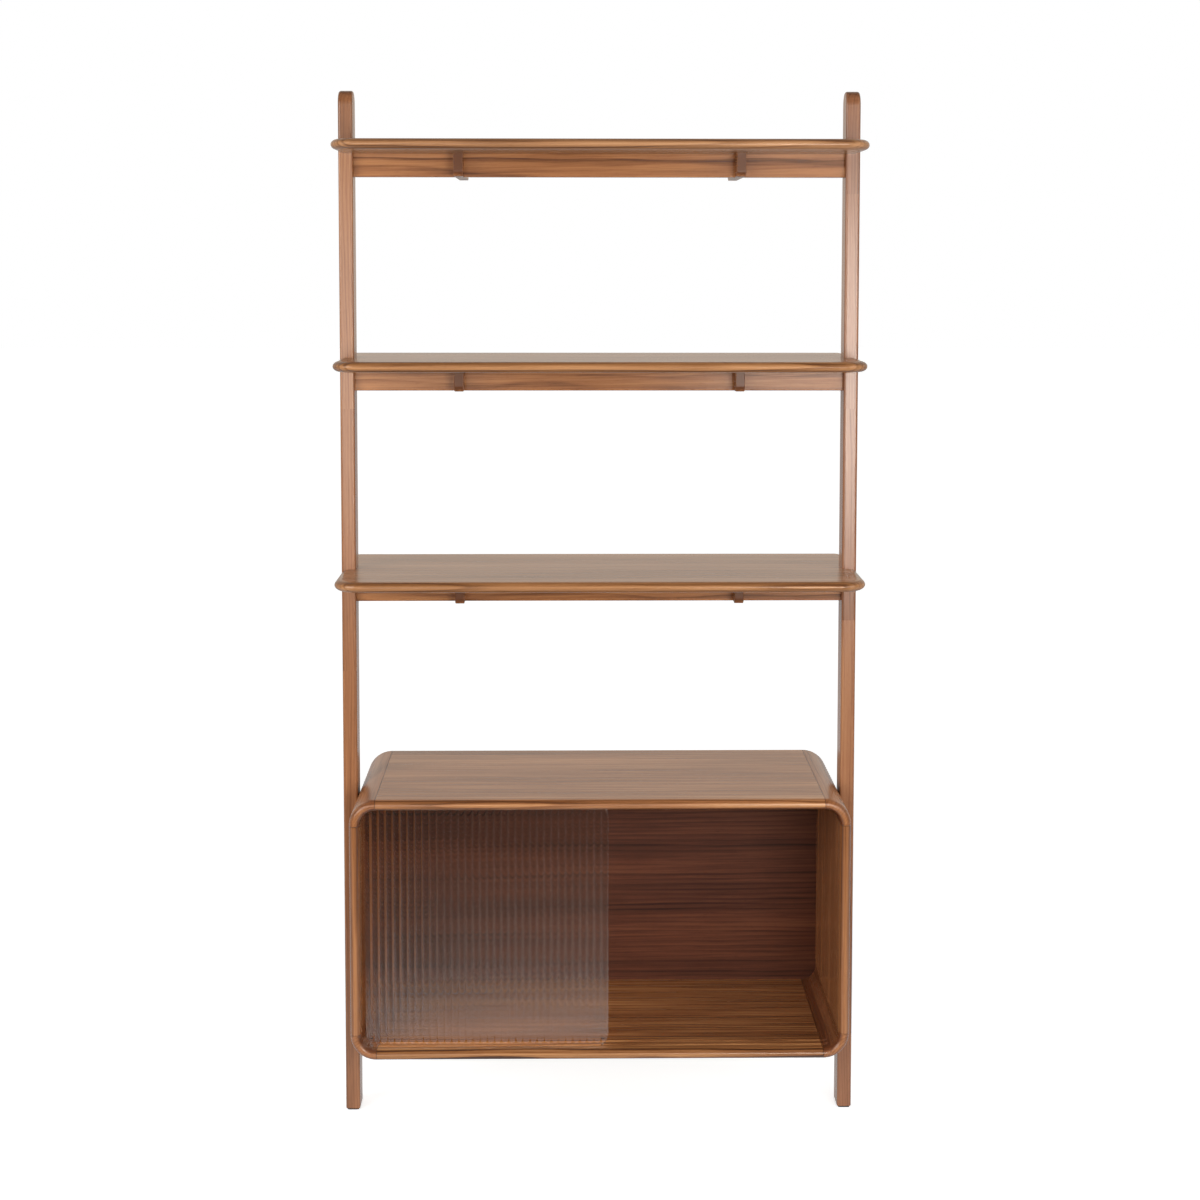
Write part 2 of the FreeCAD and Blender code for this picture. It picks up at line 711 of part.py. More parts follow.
def build_bolts():
    """Bolts with their nuts, inserts, plugs and dowels: what joins the posts to the rails and the cabinet."""
    rails, cabinet = bolt_heights()
    at_rails = [(side, height) for side in sides.values() for height in rails]
    at_cabinet = [(side, height) for side in sides.values() for height in cabinet]
    save("rail_bolts", Part.makeCompound([bolt(side, z, rail_bolt_reach) for side, z in at_rails]))
    save("barrel_nuts", Part.makeCompound([make_barrel_nut(side, z) for side, z in at_rails]))
    save("rail_dowels", Part.makeCompound([rail_dowel(side, z, dowel_radius) for side, z in at_rails]))
    save("cabinet_bolts", Part.makeCompound([bolt(side, z, insert_length) for side, z in at_cabinet]))
    save("threaded_inserts", Part.makeCompound([make_insert(side, z) for side, z in at_cabinet]))
    save("bolt_plugs", Part.makeCompound([plug(side, z) for side, z in at_rails + at_cabinet]))
    save("seam_dowels", Part.makeCompound(seam_dowels(dowel_radius)))


def build_screws():
    """Screws of the shelves, the back panel and the wall brackets, and the brackets themselves."""
    shelf_places = [place for top in shelf_tops.values() for place in shelf_screw_places(top)]
    sets = {
        "shelf_screws": (shelf_places, Z, shelf_screw_radius, shelf_screw_head_radius,
                         shelf_screw_head_height, shelf_screw_length),
        "back_panel_screws": (back_screw_places(), -Y, back_screw_radius, back_screw_head_radius,
                              back_screw_head_height, back_screw_length),
        "bracket_screws": (bracket_screw_places(), Z, bracket_screw_radius, bracket_screw_head_radius,
                           bracket_screw_head_height, bracket_screw_length),
    }
    for name, (places, direction, radius, head_radius, head_height, length) in sets.items():
        screws = [screw(place, direction, radius, head_radius, head_height, length) for place in places]
        save(name, Part.makeCompound(screws))
    for name, side in sides.items():
        save("wall_bracket_" + name, make_bracket(side))


os.makedirs("parts", exist_ok=True)
build_frame()
build_cabinet()
build_bolts()
build_screws()
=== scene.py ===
"""Bookcase with sliding reeded glass doors: finishes, panes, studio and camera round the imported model."""
import math

import bmesh
import bpy
from mathutils import Euler, Matrix, Vector


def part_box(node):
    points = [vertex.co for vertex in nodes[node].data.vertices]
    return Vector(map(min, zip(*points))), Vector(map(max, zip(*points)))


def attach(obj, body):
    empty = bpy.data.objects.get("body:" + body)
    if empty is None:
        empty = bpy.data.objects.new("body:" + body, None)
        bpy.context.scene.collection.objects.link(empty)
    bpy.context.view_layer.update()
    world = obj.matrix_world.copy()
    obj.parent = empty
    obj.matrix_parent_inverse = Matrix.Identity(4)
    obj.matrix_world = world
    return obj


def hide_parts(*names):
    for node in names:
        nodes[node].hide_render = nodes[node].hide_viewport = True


MM = 0.001
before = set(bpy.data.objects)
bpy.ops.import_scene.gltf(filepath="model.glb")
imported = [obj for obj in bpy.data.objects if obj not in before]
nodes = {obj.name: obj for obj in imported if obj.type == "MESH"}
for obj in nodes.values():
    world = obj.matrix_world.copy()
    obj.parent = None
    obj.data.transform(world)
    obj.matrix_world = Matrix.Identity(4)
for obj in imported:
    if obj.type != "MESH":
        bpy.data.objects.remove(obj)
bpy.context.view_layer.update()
scene = bpy.context.scene


# ---------------------------------------------------------------- nodes and colours
BLACK, WHITE = (0, 0, 0, 1), (1, 1, 1, 1)


def linear(hex_colour):
    """A linear RGBA colour from an sRGB hex value such as "8A5A3C"."""
    channels = [int(hex_colour[i:i + 2], 16) / 255 for i in (0, 2, 4)]
    return tuple(c / 12.92 if c <= 0.04045 else ((c + 0.055) / 1.055) ** 2.4 for c in channels) + (1.0,)


def add(tree, kind, settings=None):
    """Adds a node. A setting names a socket or a property: a value is set, another node's output linked."""
    made = tree.nodes.new(kind)
    for name, value in (settings or {}).items():
        if name == "stops":
            ramp = made.color_ramp
            while len(ramp.elements) < len(value):
                ramp.elements.new(0.5)
            for element, (place, colour) in zip(ramp.elements, value):
                element.position = place
                element.color = colour
        elif isinstance(name, str) and name not in made.inputs:
            setattr(made, name, value)
        elif isinstance(value, bpy.types.NodeSocket):
            tree.links.new(value, made.inputs[name])
        else:
            made.inputs[name].default_value = value
    return made


def new_material(name):
    """An empty node material: its tree and its output node."""
    material = bpy.data.materials.new(name)
    material.use_nodes = True
    material.node_tree.nodes.clear()
    return material, material.node_tree, add(material.node_tree, "ShaderNodeOutputMaterial")


# ---------------------------------------------------------------- wood
GRAIN_TURN = {"x": (0, 0, 0), "y": (0, 0, -90), "z": (0, 90, 0)}
GRAIN_AXIS = {"x": (1, 0, 0), "y": (0, 1, 0), "z": (0, 0, 1)}
SIDEWAYS_TILT = 0.4          # share of a board's tilt to the pith that it also has sideways
BLOCK_SHIFT = 60.0           # mm that each finger-jointed block is moved in the tree, at most
RING_WANDER = 26.0           # mm that the year rings stray from true circles
WEAKEST_YEAR = 0.25          # strength of the faintest year's line
SEAM_WIDTH = 1.6 * MM        # painted shade in the seam darkens a board's end from here to the seam's middle
SEAM_MIDDLE = 0.4 * MM
HOLLOW_SHADE_EDGE = 31 * MM, 27 * MM    # radii between which painted shade darkens the hollow of a corner moulding
SEAM_AND_HOLLOW_SHADE = 0.45        # how much painted shade darkens seams and hollows
PORE_STAIN = 0.12
# Painted light on rounded edges, by how flat the surface is: a painted highlight at the tip (0), painted
# shade where the edge breaks into the flat face (0.66 to 0.94), none on the flat face (1).
NOSE_PAINTED_LIGHT = ((0.0, "D8D8D8"), (0.35, "C8C8C8"), (0.66, "505050"), (0.94, "404040"), (0.985, "BCBCBC"))
NOSE_PAINTED_LIGHT_CONTRAST = 0.6          # how much that painted light, from a nose's tip to the flat face, changes the wood's tone
MOULDING_RADIUS = 44 * MM


def board_coordinates(tree, node, grain, pith, tilt):
    """Millimetres from the board's pith line, with X along the grain.

    pith is how far the middle of the tree lies from the board's middle, across the grain, and tilt the
    angle in degrees between the two, which draws the long arches of a flat-sawn face.
    """
    low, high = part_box(node)
    centre = (low + high) / 2 / MM
    turn = Euler([math.radians(a) for a in GRAIN_TURN[grain]], "XYZ").to_matrix()
    lean = Euler((0, math.radians(tilt), math.radians(tilt * SIDEWAYS_TILT)), "XYZ").to_matrix()
    whole = lean @ turn
    place = -(whole @ centre) + Vector((0, pith[0], pith[1]))
    return add(tree, "ShaderNodeMapping", {
        "Location": place, "Rotation": whole.to_euler("XYZ"), "Scale": (1 / MM,) * 3,
        "Vector": add(tree, "ShaderNodeTexCoord").outputs["Object"]}).outputs["Vector"]


def grain_noise(tree, board, length, width, detail=2.0, offset=0.0):
    """Noise drawn out along the grain: length and width of its blotches in millimetres."""
    stretched = add(tree, "ShaderNodeMapping", {
        "Location": (offset, offset, 0), "Scale": (1 / length, 1 / width, 1 / width), "Vector": board})
    noise = add(tree, "ShaderNodeTexNoise", {
        "Scale": 1.0, "Detail": detail, "Roughness": 0.55, "Vector": stretched.outputs["Vector"]})
    return noise.outputs["Fac"]


def finger_joints(tree, board, length, start, contrast):
    """Blocks of wood glued end to end, length mm each: every one has its own grain and its own tone.

    start is added to the count of blocks along the board, so it sets where the joints fall and which tones
    come up.
    """
    along = add(tree, "ShaderNodeSeparateXYZ", {"Vector": board}).outputs["X"]
    count = add(tree, "ShaderNodeMath", {"operation": "MULTIPLY_ADD", 0: along, 1: 1 / length, 2: start})
    block = add(tree, "ShaderNodeMath", {"operation": "FLOOR", 0: count.outputs[0]})
    pick = add(tree, "ShaderNodeTexWhiteNoise", {"noise_dimensions": "1D", "W": block.outputs[0]}).outputs
    shift = add(tree, "ShaderNodeVectorMath", {"operation": "SCALE", 0: pick["Color"], "Scale": BLOCK_SHIFT})
    board = add(tree, "ShaderNodeVectorMath", {"operation": "ADD", 0: board, 1: shift.outputs["Vector"]})
    shade = add(tree, "ShaderNodeMath", {
        "operation": "MULTIPLY_ADD", 0: pick["Value"], 1: contrast, 2: 0.5 - contrast / 2})
    return board.outputs["Vector"], shade.outputs[0]


def year_rings(tree, board, ring):
    """Late wood of each year as a dark line, of uneven strength: radius from the pith, cut into years."""
    wander = grain_noise(tree, board, 560, 75)
    across = add(tree, "ShaderNodeVectorMath", {"operation": "MULTIPLY", 0: board, 1: (0, 1, 1)})
    radius = add(tree, "ShaderNodeVectorMath", {"operation": "LENGTH", 0: across.outputs["Vector"]})
    bent = add(tree, "ShaderNodeMath", {
        "operation": "MULTIPLY_ADD", 0: wander, 1: RING_WANDER, 2: radius.outputs["Value"]})
    count = add(tree, "ShaderNodeMath", {"operation": "DIVIDE", 0: bent.outputs[0], 1: ring}).outputs[0]
    phase = add(tree, "ShaderNodeMath", {"operation": "FRACT", 0: count})
    number = add(tree, "ShaderNodeMath", {"operation": "FLOOR", 0: count})
    year = add(tree, "ShaderNodeTexWhiteNoise", {"noise_dimensions": "1D", "W": number.outputs[0]})
    late = add(tree, "ShaderNodeValToRGB", {    # grows through the year, then ends sharply
        "stops": [(0.0, BLACK), (0.40, (0.1, 0.1, 0.1, 1)), (0.84, WHITE), (0.98, BLACK)],
        "Fac": phase.outputs[0]})
    strength = add(tree, "ShaderNodeMath", {"operation": "ADD", 0: year.outputs["Value"], 1: WEAKEST_YEAR})
    patch = add(tree, "ShaderNodeMath", {
        "operation": "MULTIPLY", 0: strength.outputs[0], 1: grain_noise(tree, board, 240, 16, 2.0, 7.3)})
    return add(tree, "ShaderNodeMath", {
        "operation": "MULTIPLY", 0: late.outputs["Color"], 1: patch.outputs[0]}).outputs[0]


def board_pattern(tree, board, value, ring, figure, bands):
    """Tone of a board from 0, dark, to 1, light: rings, streaks, fibres and bands laid over a plain value."""
    layers = (    # pattern, how strongly it lightens the board, and the pattern's own middle
        (year_rings(tree, board, ring), -1.05 * figure, 0.12),
        (grain_noise(tree, board, 260, 4.5, 3.0, 3.1), 1.05 * figure, 0.5),    # streaks
        (grain_noise(tree, board, 60, 1.4, 2.0, 11.7), 0.40, 0.5),             # fibres
        (grain_noise(tree, board, 700, 60, 1.0, 31.0), bands, 0.5),            # broad light and dark bands
    )
    for pattern, weight, middle in layers:
        part = add(tree, "ShaderNodeMath", {
            "operation": "MULTIPLY_ADD", 0: pattern, 1: weight, 2: -weight * middle})
        value = add(tree, "ShaderNodeMath", {"operation": "ADD", 0: part.outputs[0], 1: value}).outputs[0]
    return value


def seam_painted_shade(tree, place, node, grain):
    """Painted shade in the seam at both ends of a board: the distance from its middle, and where that starts
    to darken.
    """
    low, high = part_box(node)
    axis = "xyz".index(grain)
    half, middle = (high[axis] - low[axis]) / 2, (high[axis] + low[axis]) / 2
    along = add(tree, "ShaderNodeSeparateXYZ", {"Vector": place["Object"]}).outputs["XYZ"[axis]]
    from_middle = add(tree, "ShaderNodeMath", {"operation": "SUBTRACT", 0: along, 1: middle})
    reach = add(tree, "ShaderNodeMath", {"operation": "ABSOLUTE", 0: from_middle.outputs[0]})
    return reach.outputs[0], half - SEAM_WIDTH, half - SEAM_MIDDLE, SEAM_AND_HOLLOW_SHADE


def hollow_painted_shade(tree, place, axis):
    """Painted shade in the hollow of a corner moulding: the distance from its axis, and where that starts to
    darken.
    """
    flat = add(tree, "ShaderNodeVectorMath", {"operation": "MULTIPLY", 0: place["Object"], 1: (1, 0, 1)})
    away = add(tree, "ShaderNodeVectorMath", {
        "operation": "DISTANCE", 0: flat.outputs["Vector"], 1: (axis[0], 0, axis[1])})
    return away.outputs["Value"], HOLLOW_SHADE_EDGE[0], HOLLOW_SHADE_EDGE[1], SEAM_AND_HOLLOW_SHADE


def nose_painted_light(tree, place, flats):
    """Rounded edges: a painted highlight at the tip, and painted shade where they break into the flat face.
    """
    masked = add(tree, "ShaderNodeVectorMath", {"operation": "MULTIPLY", 0: place["Normal"], 1: flats})
    flatness = add(tree, "ShaderNodeVectorMath", {"operation": "LENGTH", 0: masked.outputs["Vector"]})
    painted_edge_light = add(tree, "ShaderNodeValToRGB", {
        "stops": [(flat, linear(shade)) for flat, shade in NOSE_PAINTED_LIGHT], "Fac": flatness.outputs["Value"]})
    return add(tree, "ShaderNodeMath", {
        "operation": "MULTIPLY_ADD", 0: painted_edge_light.outputs["Color"], 1: NOSE_PAINTED_LIGHT_CONTRAST,
        2: -NOSE_PAINTED_LIGHT_CONTRAST / 2}).outputs[0]


def stained_wood(name, node, grain, tones, pith, tilt, ring, figure, gloss=0.24, shine=0.5,
                 end_tone=0.25, bands=0.75, seam=False, blocks=None, hollow=None, nose=None):
    """Solid wood or veneer, stained walnut brown and sprayed with a satin varnish.

    The rings draw long lines and arches, the fibres a fine streaking and the pores short dark dashes, and
    end grain drinks more stain, so it is darker. The varnish mirrors a pale room at a low angle. seam
    paints shade into the seams at a board's ends, and hollow paints shade into the inside of a corner
    moulding round its axis. nose is 1 on the axes that a board's flat faces may point along, and paints
    light on its rounded edges: a painted highlight at the tip, painted shade where they meet the flat faces.
    """
    material, tree, output = new_material(name)
    place = add(tree, "ShaderNodeTexCoord").outputs
    board = board_coordinates(tree, node, grain, pith, tilt)
    value = 0.5
    if blocks:
        board, value = finger_joints(tree, board, *blocks)
    value = board_pattern(tree, board, value, ring, figure, bands)

    facing = add(tree, "ShaderNodeVectorMath", {
        "operation": "DOT_PRODUCT", 0: place["Normal"], 1: GRAIN_AXIS[grain]}).outputs["Value"]
    end_grain = add(tree, "ShaderNodeMath", {"operation": "ABSOLUTE", 0: facing}).outputs[0]
    pores = grain_noise(tree, board, 12, 1.0, 1.0, 23.9)
    stains_and_painted_shade = [(pores, 0.60, 0.74, PORE_STAIN), (end_grain, 0.60, 0.95, end_tone)]
    # painted shade in the seams at a board's ends
    if seam:
        stains_and_painted_shade.append(seam_painted_shade(tree, place, node, grain))
    # painted shade in the hollow of a corner moulding
    if hollow:
        stains_and_painted_shade.append(hollow_painted_shade(tree, place, hollow))
    for source, start, full, amount in stains_and_painted_shade:
        shade = add(tree, "ShaderNodeMapRange", {
            "Value": source, "From Min": start, "From Max": full, "To Min": 0.0, "To Max": amount})
        value = add(tree, "ShaderNodeMath", {
            "operation": "SUBTRACT", 0: value, 1: shade.outputs["Result"]}).outputs[0]
    # painted highlight at the tips of rounded edges, and painted shade where they meet the flat faces
    if nose:
        value = add(tree, "ShaderNodeMath", {
            "operation": "ADD", 0: value, 1: nose_painted_light(tree, place, nose)}).outputs[0]

    colour = add(tree, "ShaderNodeValToRGB", {
        "stops": [(0.5 * step, linear(tone)) for step, tone in enumerate(tones)], "Fac": value})
    satin = add(tree, "ShaderNodeMapRange", {"Value": value, "To Min": gloss + 0.04, "To Max": gloss - 0.03})
    relief = add(tree, "ShaderNodeBump", {"Strength": 0.16, "Distance": 0.1 * MM, "Height": value})
    shader = add(tree, "ShaderNodeBsdfPrincipled", {
        "IOR": 1.5, "Specular IOR Level": shine, "Base Color": colour.outputs["Color"],
        "Roughness": satin.outputs["Result"], "Normal": relief.outputs["Normal"]})
    tree.links.new(shader.outputs["BSDF"], output.inputs["Surface"])
    return material


def dress(node, material):
    """Gives a node of the model its finish."""
    mesh = nodes[node].data
    mesh.materials.clear()
    mesh.materials.append(material)


def dress_in_wood(node, name, grain, tones, **look):
    """Gives a node a board of its own: the grain along one axis, from its own place in the tree."""
    dress(node, stained_wood(name, node, grain, tones, **look))


# Dark, middle and light tone of each stain.
FRAME_TONES = ("6C432B", "A26E4B", "C49066")
POST_TONES = {"left": FRAME_TONES, "right": ("68402A", "9A684A", "BD8B65")}
RAIL_TONES = ("5A311B", "A56E45", "CA915F")
SHELF_TONES = ("6A4226", "A9774D", "CE996B")
PAINTED_LIGHT_LEVEL_TONES = {"lower": SHELF_TONES, "middle": SHELF_TONES, "upper": ("70492F", "B08059", "D4A277")}
# The upper shelf has lighter tones than the two below: painted light, as more light falls on it higher up.
CABINET_TONES = ("60391F", "A56F47", "D39C69")
# The cabinet's bottom board is a darker copy of the cabinet's tones: painted shade, as less light reaches the
# floor inside and its low front edge.
CABINET_FLOOR_SHADED_TONES = ("482916", "8C5B37", "B98556")
SIDE_TONES = ("5C341E", "97633E", "BE875D")
MOULDING_TONES = ("663A23", "A26B44", "C68D5F")
BACK_TONES = ("22100B", "4F2B1E", "744630")
RAW_BEECH_TONES = ("A98562", "C9A57C", "DBBD97")

SHELF_FLATS = (0, 0, 1)      # axes that the flat faces point along
CABINET_FLATS = (1, 0, 1)
POST_BLOCKS = {"left": (460.0, 2202.24, 0.3), "right": (372.0, 1427.06, 0.3)}    # length, start, contrast

for number, side in enumerate(("left", "right")):
    dress_in_wood("post_" + side, "finger_jointed_post_walnut_stain_satin_" + side, "z", POST_TONES[side],
                  pith=(24 + 9 * number, 60), tilt=0.5, ring=5.0, figure=0.45, shine=0.66,
                  blocks=POST_BLOCKS[side])
    dress_in_wood("cabinet_side_" + side, "cabinet_side_walnut_stain_satin_" + side, "z", SIDE_TONES,
                  pith=(290 - 50 * number, 75), tilt=0.5, ring=6.5, figure=0.7, seam=True, nose=CABINET_FLATS)
for number, level in enumerate(("lower", "middle", "upper")):
    dress_in_wood("shelf_" + level, "shelf_walnut_stain_satin_" + level, "x", PAINTED_LIGHT_LEVEL_TONES[level],
                  pith=(-230 - 40 * number, 80 + 25 * number), tilt=0.7, ring=6.0, figure=0.7,
                  nose=SHELF_FLATS)
    dress_in_wood("rail_" + level, "rail_walnut_stain_satin_" + level, "x", RAIL_TONES,
                  pith=(118 + 8 * number, 34 - 6 * number), tilt=1.0, ring=5.5, figure=0.9, shine=0.3)
    for side in ("left", "right"):
        bearer = level + "_" + side
        dress_in_wood("bearer_" + bearer, "bearer_walnut_stain_satin_" + bearer, "y", FRAME_TONES,
                      pith=(30, 45 + 10 * number), tilt=1.0, ring=4.0, figure=0.8, shine=0.3, end_tone=0.7)
dress_in_wood("cabinet_top", "cabinet_top_walnut_stain_satin", "x", CABINET_TONES,
              pith=(-300, 90), tilt=0.6, ring=6.0, figure=0.9, seam=True, nose=CABINET_FLATS)
dress_in_wood("cabinet_bottom", "cabinet_bottom_walnut_stain_satin", "x", CABINET_FLOOR_SHADED_TONES,
              pith=(260, 80), tilt=0.5, ring=7.0, figure=1.4, seam=True, nose=CABINET_FLATS)
dress_in_wood("back_panel", "back_panel_dark_walnut_veneer", "x", BACK_TONES,
              pith=(60, 330), tilt=0.6, ring=9.0, figure=0.62, gloss=0.5, shine=0.2, bands=0.7)
for height in ("top", "bottom"):
    for number, side in enumerate(("left", "right")):
        corner = height + "_" + side
        low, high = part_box("corner_moulding_" + corner)
        axis = (low.x + MOULDING_RADIUS if side == "left" else high.x - MOULDING_RADIUS,
                high.z - MOULDING_RADIUS if height == "top" else low.z + MOULDING_RADIUS)
        dress_in_wood("corner_moulding_" + corner, "corner_moulding_walnut_stain_satin_" + corner, "y",
                      MOULDING_TONES, pith=(25 + 20 * number, 40), tilt=0.8, ring=5.0, figure=0.4,
                      end_tone=0.15, hollow=axis, nose=CABINET_FLATS)
dress_in_wood("bolt_plugs", "wood_plug_walnut_stain_satin", "z", FRAME_TONES,
              pith=(30, 50), tilt=1.0, ring=4.0, figure=0.8, end_tone=0.0)
for node in ("rail_dowels", "seam_dowels"):    # raw wood: the same pattern in pale tones, without a gloss
    dress_in_wood(node, "raw_beech_" + node, "x", RAW_BEECH_TONES,
                  pith=(20, 30), tilt=1.0, ring=3.0, figure=0.5, gloss=0.6)


# ---------------------------------------------------------------- metal and felt
def zinc_plated_steel(name, tone, rough):
    """Zinc plated steel: a grey metal with a faint cloudy bloom in its shine."""
    material, tree, output = new_material(name)
    place = add(tree, "ShaderNodeTexCoord").outputs["Object"]
    bloom = add(tree, "ShaderNodeTexNoise", {"Scale": 220.0, "Detail": 4.0, "Vector": place}).outputs["Fac"]
    colour = add(tree, "ShaderNodeValToRGB", {
        "stops": [(0.3, linear(tone)), (0.7, linear("C9CBCC"))], "Fac": bloom})
    gloss = add(tree, "ShaderNodeMapRange", {"Value": bloom, "To Min": rough - 0.06, "To Max": rough + 0.1})
    shader = add(tree, "ShaderNodeBsdfPrincipled", {
        "Metallic": 1.0, "Base Color": colour.outputs["Color"], "Roughness": gloss.outputs["Result"]})
    tree.links.new(shader.outputs["BSDF"], output.inputs["Surface"])
    return material


screw_steel = zinc_plated_steel("zinc_plated_steel_fasteners", "A9ACAE", 0.32)
bracket_steel = zinc_plated_steel("zinc_plated_sheet_steel_brackets", "A2A5A8", 0.38)
for node in ("rail_bolts", "barrel_nuts", "cabinet_bolts", "threaded_inserts", "shelf_screws",
             "back_panel_screws", "bracket_screws"):
    dress(node, screw_steel)
for side in ("left", "right"):
    dress("wall_bracket_" + side, bracket_steel)


def pressed_felt():
    """Dark pressed wool felt under the posts: matt, with a short tangled nap."""
    material, tree, output = new_material("dark_pressed_felt")
    place = add(tree, "ShaderNodeTexCoord").outputs["Object"]
    nap = add(tree, "ShaderNodeTexNoise", {"Scale": 2600.0, "Detail": 3.0, "Vector": place}).outputs["Fac"]
    colour = add(tree, "ShaderNodeValToRGB", {
        "stops": [(0.3, linear("2A2320")), (0.7, linear("4A403A"))], "Fac": nap})
    relief = add(tree, "ShaderNodeBump", {"Strength": 0.6, "Distance": 0.3 * MM, "Height": nap})
    shader = add(tree, "ShaderNodeBsdfPrincipled", {
        "Roughness": 0.95, "Sheen Weight": 0.3, "Base Color": colour.outputs["Color"],
        "Normal": relief.outputs["Normal"]})
    tree.links.new(shader.outputs["BSDF"], output.inputs["Surface"])
    return material


felt = pressed_felt()
for side in ("left", "right"):
    dress("foot_pad_" + side, felt)


# ---------------------------------------------------------------- reeded glass doors
REEDS = 34
REED_HEIGHT = 2.1 * MM
PANE_CORNER = 27.0 * MM
STEPS_PER_REED = 14
STEPS_PER_CORNER = 16
CRISP_ANGLE = 35             # degrees between two faces of a pane that still look smooth


def reeded_glass():
    """Clear rolled glass with upright reeds, faintly warm, that bends what stands behind it into stripes."""
    material, tree, output = new_material("clear_reeded_rolled_glass")
    place = add(tree, "ShaderNodeTexCoord").outputs["Object"]
    stretched = add(tree, "ShaderNodeMapping", {"Scale": (60, 60, 4), "Vector": place})
    film = add(tree, "ShaderNodeTexNoise", {
        "Scale": 1.0, "Detail": 2.0, "Vector": stretched.outputs["Vector"]}).outputs["Fac"]
    haze = add(tree, "ShaderNodeMapRange", {"Value": film, "To Min": 0.0, "To Max": 0.03})
    tint = add(tree, "ShaderNodeValToRGB", {
        "stops": [(0.3, linear("FCF8F4")), (0.7, linear("FEFBF8"))], "Fac": film})
    glass = add(tree, "ShaderNodeBsdfPrincipled", {
        "Transmission Weight": 1.0, "IOR": 1.5, "Base Color": tint.outputs["Color"],
        "Roughness": haze.outputs["Result"]})
    clear = add(tree, "ShaderNodeBsdfTransparent", {"Color": linear("F5F2EE")})
    path = add(tree, "ShaderNodeLightPath")
    mix = add(tree, "ShaderNodeMixShader", {
        "Fac": path.outputs["Is Shadow Ray"], 1: glass.outputs["BSDF"], 2: clear.outputs["BSDF"]})
    tree.links.new(mix.outputs["Shader"], output.inputs["Surface"])
    return material


def make_pane(name, node):
    """A pane the size of a door, its front face a row of smooth reeds and its corners round."""
    low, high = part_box(node)
    width = high.x - low.x
    half_reed = width / REEDS / 2
    arc_radius = half_reed ** 2 / (2 * REED_HEIGHT) + REED_HEIGHT / 2
    columns = REEDS * STEPS_PER_REED
    reed_steps = [width * index / columns for index in range(columns + 1)]
    corner_steps = [PANE_CORNER * (1 - math.cos(math.pi / 2 * index / STEPS_PER_CORNER))
                    for index in range(STEPS_PER_CORNER + 1)]
    steps = reed_steps + corner_steps + [width - step for step in corner_steps]
    places = sorted(set(round(step, 7) for step in steps))
    mesh = bmesh.new()
    rows = []
    for place in places:
        inset = max(PANE_CORNER - place, PANE_CORNER - (width - place), 0.0)
        drop = PANE_CORNER - math.sqrt(max(PANE_CORNER ** 2 - inset ** 2, 0.0))
        from_crest = (place % (2 * half_reed)) - half_reed
        rise = math.sqrt(arc_radius ** 2 - from_crest ** 2) - (arc_radius - REED_HEIGHT)
        front = low.y + REED_HEIGHT - rise
        foot, head = low.z + drop, high.z - drop
        rows.append([mesh.verts.new((low.x + place, y, z)) for y, z in
                     ((front, foot), (front, head), (high.y, head), (high.y, foot))])
    for left, right in zip(rows, rows[1:]):
        for corner in range(4):
            after = (corner + 1) % 4
            mesh.faces.new((left[corner], right[corner], right[after], left[after]))
    mesh.faces.new(rows[0])
    mesh.faces.new(list(reversed(rows[-1])))
    bmesh.ops.recalc_face_normals(mesh, faces=mesh.faces)
    data = bpy.data.meshes.new(name)
    mesh.to_mesh(data)
    mesh.free()
    pane = bpy.data.objects.new(name, data)
    scene.collection.objects.link(pane)
    return pane


def smooth_by_angle(data, degrees):
    """Smooth faces that stay crisp where they meet at more than an angle."""
    data.polygons.foreach_set("use_smooth", [True] * len(data.polygons))
    data.set_sharp_from_angle(angle=math.radians(degrees))


glass = reeded_glass()
for node, body in (("door_front", "front_door"), ("door_rear", "rear_door")):
    pane = make_pane(node + "_pane", node)
    pane.data.materials.append(glass)
    smooth_by_angle(pane.data, CRISP_ANGLE)
    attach(pane, body)
    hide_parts(node)


# ---------------------------------------------------------------- studio
def seen_directly(tree):
    """1 for rays from the camera, also those that went straight through glass, and 0 for mirrored ones."""
    path = add(tree, "ShaderNodeLightPath").outputs
    unmirrored = add(tree, "ShaderNodeMath", {
        "operation": "SUBTRACT", 0: 1.0, 1: path["Glossy Depth"], "use_clamp": True})
    through = add(tree, "ShaderNodeMath", {
        "operation": "MULTIPLY", 0: path["Is Transmission Ray"], 1: unmirrored.outputs[0]})
    return add(tree, "ShaderNodeMath", {
        "operation": "MAXIMUM", 0: path["Is Camera Ray"], 1: through.outputs[0]}).outputs[0]


PAPER_FADE = -1.9, -0.45     # depths between which the pale paper comes out of a grey floor, in front
MIRROR_FADE = -1.0, -0.45    # and between which varnish and glass start to mirror it as lit
FAR_FADE = 0.6, 4.0          # and between which it is lifted further, as less of the lamps reaches it
PAPER_GLOW = 0.69, 0.83      # how far the paper is lifted to white where it is seen directly: near, and far
FRONT_GLOW = 0.27            # how much more where it is grey
MIRROR_GLOW = 0.29           # how far it is lifted where it is mirrored
PAPER_TONES = ((0.0, "2E2C2A"), (0.34, "6A6866"), (0.57, "8C8C8C"), (0.76, "BEC4CA"), (1.0, "DCE6F0"))
FLOOR_REACH = 30.0
FLOOR_SINK = 0.2 * MM        # keeps the paper clear of the felt pads' undersides
LAMP_TINT = (1.0, 0.95, 0.88)
ROOM_TINT = (1.0, 0.91, 0.80, 1)
ROOM_GLOW = 0.10, 0.14       # strength of the dim room: round the bookcase, and straight above
WALL_GLOW = 0.68             # strength that the wall behind the bookcase adds
WALL_EDGE = -0.15, 0.35      # how far back a direction points where that wall starts, and is whole
WALL_TOP = 0.92, 0.60        # how far up a direction points where it ends, and where it is still whole
CEILING_EDGE = 0.75, 0.97


